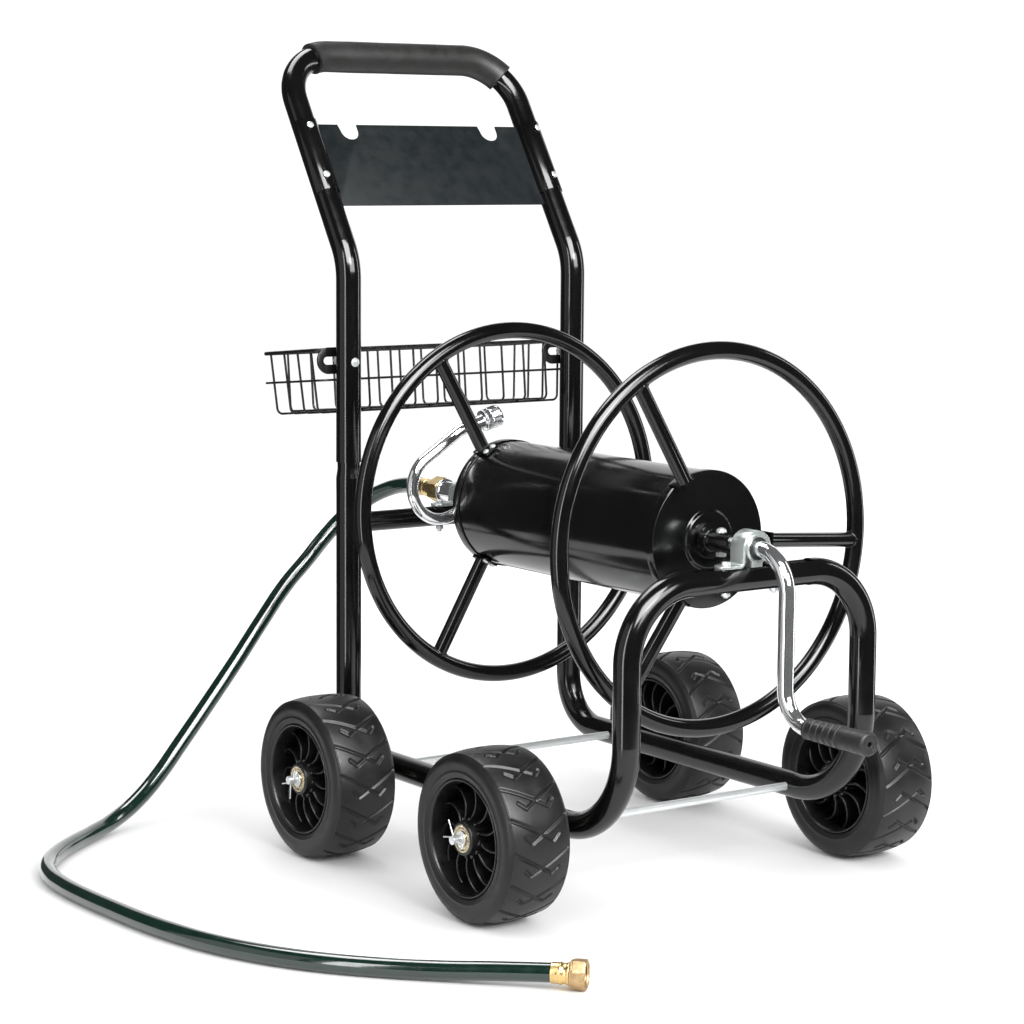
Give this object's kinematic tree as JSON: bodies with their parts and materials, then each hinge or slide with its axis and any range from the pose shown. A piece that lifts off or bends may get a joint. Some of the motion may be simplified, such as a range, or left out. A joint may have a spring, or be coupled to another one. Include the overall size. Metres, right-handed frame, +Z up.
{
  "type": "garden hose reel cart",
  "caption": "Bent-tube garden cart on wide wheels carrying a crank-wound hose reel with a water swivel, foam-gripped push handle, tool plate, wire basket and short leader hose.",
  "frame": {"origin": "on the floor, under the middle of the cart's overall length and width", "axes": "+Z up; +Y towards the push handle, so the crank end faces -Y; +X towards the right-hand wheels seen from the crank end"},
  "size_m": [0.9775, 1.0214, 1.0125],
  "materials": {
    "frame_black": "gloss black powder coat",
    "plate_paint": "matte dark green-grey paint",
    "basket_coat": "satin black dip coat",
    "foam": "satin closed-cell foam",
    "zinc": "bright zinc plate",
    "saddle_zinc": "pressed and cast zinc, satin",
    "chrome": "polished chrome plate",
    "bush_plastic": "black nylon",
    "seal": "black rubber",
    "grip_plastic": "satin black plastic with fine ribs",
    "tyre": "matte black rubber with moulded tread",
    "rim": "moulded black plastic",
    "bearing_steel": "yellow zinc plate",
    "brass": "machined brass",
    "hose": "glossy dark green hose"
  },
  "bodies": {
    "cart": {"base_frame": "frame_black", "rear_crossbar": "frame_black", "handle_tube": "frame_black", "axle_spacers": "frame_black", "tool_plate": "plate_paint", "basket": "basket_coat", "basket_brackets": "basket_coat", "handle_grip": "foam", "plate_screws": "zinc", "leg_bolts": "zinc", "leg_nuts": "zinc", "saddle_bolts": "zinc", "saddle_nuts": "zinc", "front_axle": "zinc", "rear_axle": "zinc", "axle_washers": "zinc", "cotter_pins": "zinc", "front_saddle": "saddle_zinc", "front_bearing_shell": "saddle_zinc", "rear_saddle": "saddle_zinc", "inlet_swivel": "chrome", "front_bush": "bush_plastic", "swivel_seal": "seal", "inlet_nut": "brass", "hose_ferrule": "brass", "hose_coupling": "brass", "leader_hose": "hose"},
    "reel": {"drum_shell": "frame_black", "front_drum_cap": "frame_black", "rear_drum_cap": "frame_black", "front_hoop": "frame_black", "rear_hoop": "frame_black", "front_spokes": "frame_black", "rear_spokes": "frame_black", "spoke_bolts": "zinc", "drive_shaft": "frame_black", "drive_bolt": "zinc", "crank_arm": "chrome", "grip_clip": "zinc", "water_shaft": "chrome", "hub_bolts": "zinc", "gooseneck": "chrome", "outlet_fitting": "chrome"},
    "crank_grip": {"crank_grip": "grip_plastic"},
    "wheel_front_left": {"tyre_front_left": "tyre", "rim_front_left": "rim", "blades_front_left": "rim", "bearings_front_left": "bearing_steel"},
    "wheel_front_right": {"tyre_front_right": "tyre", "rim_front_right": "rim", "blades_front_right": "rim", "bearings_front_right": "bearing_steel"},
    "wheel_rear_left": {"tyre_rear_left": "tyre", "rim_rear_left": "rim", "blades_rear_left": "rim", "bearings_rear_left": "bearing_steel"},
    "wheel_rear_right": {"tyre_rear_right": "tyre", "rim_rear_right": "rim", "blades_rear_right": "rim", "bearings_rear_right": "bearing_steel"}
  },
  "joints": [
    {"name": "reel_turn", "type": "hinge", "parent": "cart", "child": "reel", "pos_m": [0, 0, 0.422], "axis": [0, 1, 0], "continuous": true},
    {"name": "crank_grip_turn", "type": "hinge", "parent": "reel", "child": "crank_grip", "pos_m": [0, -0.44, 0.229], "axis": [0, 1, 0], "continuous": true},
    {"name": "wheel_front_left_roll", "type": "hinge", "parent": "cart", "child": "wheel_front_left", "pos_m": [-0.276, -0.16686, 0.1], "axis": [1, 0, 0], "continuous": true},
    {"name": "wheel_front_right_roll", "type": "hinge", "parent": "cart", "child": "wheel_front_right", "pos_m": [0.276, -0.16686, 0.1], "axis": [1, 0, 0], "continuous": true},
    {"name": "wheel_rear_left_roll", "type": "hinge", "parent": "cart", "child": "wheel_rear_left", "pos_m": [-0.276, 0.19414, 0.1], "axis": [1, 0, 0], "continuous": true},
    {"name": "wheel_rear_right_roll", "type": "hinge", "parent": "cart", "child": "wheel_rear_right", "pos_m": [0.276, 0.19414, 0.1], "axis": [1, 0, 0], "continuous": true}
  ]
}
